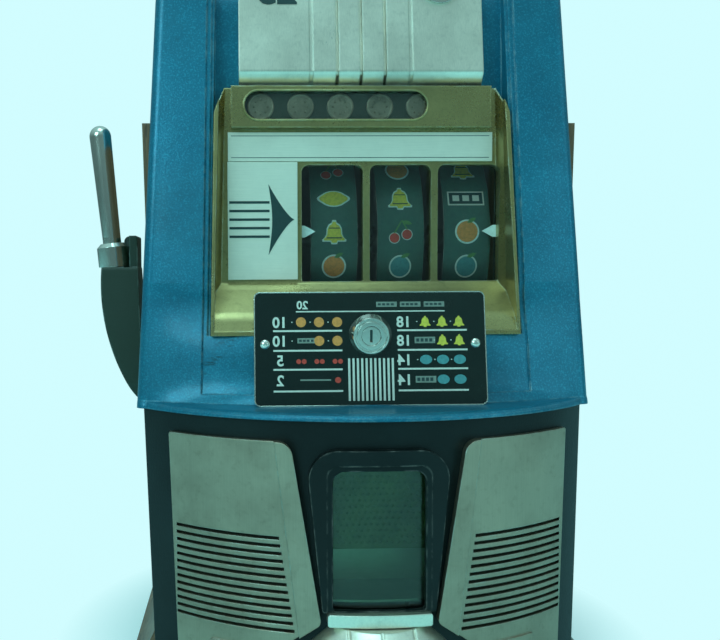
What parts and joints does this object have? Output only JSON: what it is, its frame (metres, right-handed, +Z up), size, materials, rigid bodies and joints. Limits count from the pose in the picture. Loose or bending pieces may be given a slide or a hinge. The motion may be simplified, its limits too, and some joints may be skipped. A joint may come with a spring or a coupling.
{
  "type": "slot machine",
  "caption": "Mechanical three-reel slot machine with a sprung side handle, jackpot window and payout cup.",
  "frame": {"origin": "on the surface the machine stands on, under the middle of its front plan", "axes": "+X to the viewer's right, the front faces -Y, +Z up; the handle is on the -X side"},
  "size_m": [0.4735, 0.4495, 0.6555],
  "materials": {
    "arm_paint": "dark enamel",
    "brass": "satin",
    "card_black": "printed enamel",
    "casting_black": "crackle black enamel",
    "chrome": "polished plate",
    "coin_silver": "worn coin face",
    "glass": "clear",
    "gold_lacquer": "gold lacquer over aluminium",
    "hammer_blue": "hammered metallic enamel",
    "plate_aluminium": "brushed, lacquered",
    "pointer_white": "gloss",
    "steel": "zinc plated",
    "strip": "printed celluloid",
    "wood": "varnished oak"
  },
  "bodies": {
    "cabinet": {"side_board_handle": "wood", "side_board_plain": "wood", "base_board": "wood", "plinth_plain": "wood", "plinth_handle": "wood", "mechanism_rails": "steel", "upper_casting": "hammer_blue", "head_panel": "plate_aluminium", "button_bezel": "chrome", "reel_frame": "gold_lacquer", "reel_glass": "glass", "reel_pointers": "pointer_white", "escalator_glass": "glass", "escalator_track": "steel", "escalator_coins": "coin_silver", "name_plate": "plate_aluminium", "arrow_plate": "plate_aluminium", "card_holder": "plate_aluminium", "award_card": "card_black", "card_screws": "chrome", "lock_ring": "chrome", "lower_casting": "casting_black", "grille_plain": "plate_aluminium", "grille_handle": "plate_aluminium", "jackpot_bezel": "casting_black", "jackpot_glass": "glass", "jackpot_sill": "plate_aluminium", "jackpot_bin": "steel", "payout_cup": "plate_aluminium", "payout_chute": "steel", "cash_box": "steel", "handle_bush": "brass", "mechanism_floor": "steel", "mechanism_sides": "steel", "reel_shaft": "steel", "stop_lever_shaft": "steel", "coin_tube": "brass", "tube_bracket": "steel", "hinge_leaves_fixed": "brass"},
    "handle": {"handle_shaft": "steel", "handle_arm": "arm_paint", "handle_collar": "chrome", "handle_grip": "chrome", "drive_crank": "steel"},
    "reel_1_body": {"reel_1": "steel", "reel_strip_1": "strip"},
    "stop_lever_1_body": {"stop_lever_1": "steel"},
    "reel_2_body": {"reel_2": "steel", "reel_strip_2": "strip"},
    "stop_lever_2_body": {"stop_lever_2": "steel"},
    "reel_3_body": {"reel_3": "steel", "reel_strip_3": "strip"},
    "stop_lever_3_body": {"stop_lever_3": "steel"},
    "payout_slide_body": {"payout_slides": "steel"},
    "governor": {"governor_fan": "brass"},
    "return_button_body": {"return_button": "brass"},
    "card_lock": {"lock_plug": "chrome"},
    "door": {"rear_door": "wood", "hinge_leaves_door": "brass"},
    "door_lock_body": {"door_lock": "chrome"}
  },
  "joints": [
    {"name": "handle_pull", "type": "hinge", "parent": "cabinet", "child": "handle", "pos_m": [-0.2055, -0.014, 0.275], "axis": [1, 0, 0], "range_deg": [0, 62], "stiffness_Nm_per_rad": 2, "springref_deg": -20.05},
    {"name": "return_button_push", "type": "slide", "parent": "cabinet", "child": "return_button_body", "axis": [0, 1, 0], "range_m": [0, 0.006], "stiffness_N_per_m": 400, "springref_m": -0.002},
    {"name": "card_lock_turn", "type": "hinge", "parent": "cabinet", "child": "card_lock", "pos_m": [0, -0.15139, 0.315], "axis": [0, -1, 0], "range_deg": [-90, 0]},
    {"name": "payout_slide_travel", "type": "slide", "parent": "cabinet", "child": "payout_slide_body", "axis": [0, -1, 0], "range_m": [0, 0.025], "stiffness_N_per_m": 60, "springref_m": -0.005},
    {"name": "governor_spin", "type": "hinge", "parent": "cabinet", "child": "governor", "pos_m": [-0.016, 0.0976, 0.247], "axis": [1, 0, 0], "continuous": true},
    {"name": "rear_door_swing", "type": "hinge", "parent": "cabinet", "child": "door", "pos_m": [-0.185, 0.183, 0.27], "axis": [0, 0, 1], "range_deg": [0, 110]},
    {"name": "door_lock_turn", "type": "hinge", "parent": "door", "child": "door_lock_body", "pos_m": [0.15362, 0.178, 0.29], "axis": [0, 1, 0], "range_deg": [0, 90]},
    {"name": "reel_1_spin", "type": "hinge", "parent": "cabinet", "child": "reel_1_body", "pos_m": [-0.022, 0.0296, 0.403], "axis": [1, 0, 0], "continuous": true},
    {"name": "stop_lever_1_turn", "type": "hinge", "parent": "cabinet", "child": "stop_lever_1_body", "pos_m": [0.006, 0.1064, 0.3006], "axis": [1, 0, 0], "range_deg": [0, 8], "stiffness_Nm_per_rad": 0.5, "springref_deg": -5.73},
    {"name": "reel_2_spin", "type": "hinge", "parent": "cabinet", "child": "reel_2_body", "pos_m": [0.0405, 0.0296, 0.403], "axis": [1, 0, 0], "continuous": true},
    {"name": "stop_lever_2_turn", "type": "hinge", "parent": "cabinet", "child": "stop_lever_2_body", "pos_m": [0.0685, 0.1064, 0.3006], "axis": [1, 0, 0], "range_deg": [0, 8], "stiffness_Nm_per_rad": 0.5, "springref_deg": -5.73},
    {"name": "reel_3_spin", "type": "hinge", "parent": "cabinet", "child": "reel_3_body", "pos_m": [0.103, 0.0296, 0.403], "axis": [1, 0, 0], "continuous": true},
    {"name": "stop_lever_3_turn", "type": "hinge", "parent": "cabinet", "child": "stop_lever_3_body", "pos_m": [0.131, 0.1064, 0.3006], "axis": [1, 0, 0], "range_deg": [0, 8], "stiffness_Nm_per_rad": 0.5, "springref_deg": -5.73}
  ]
}
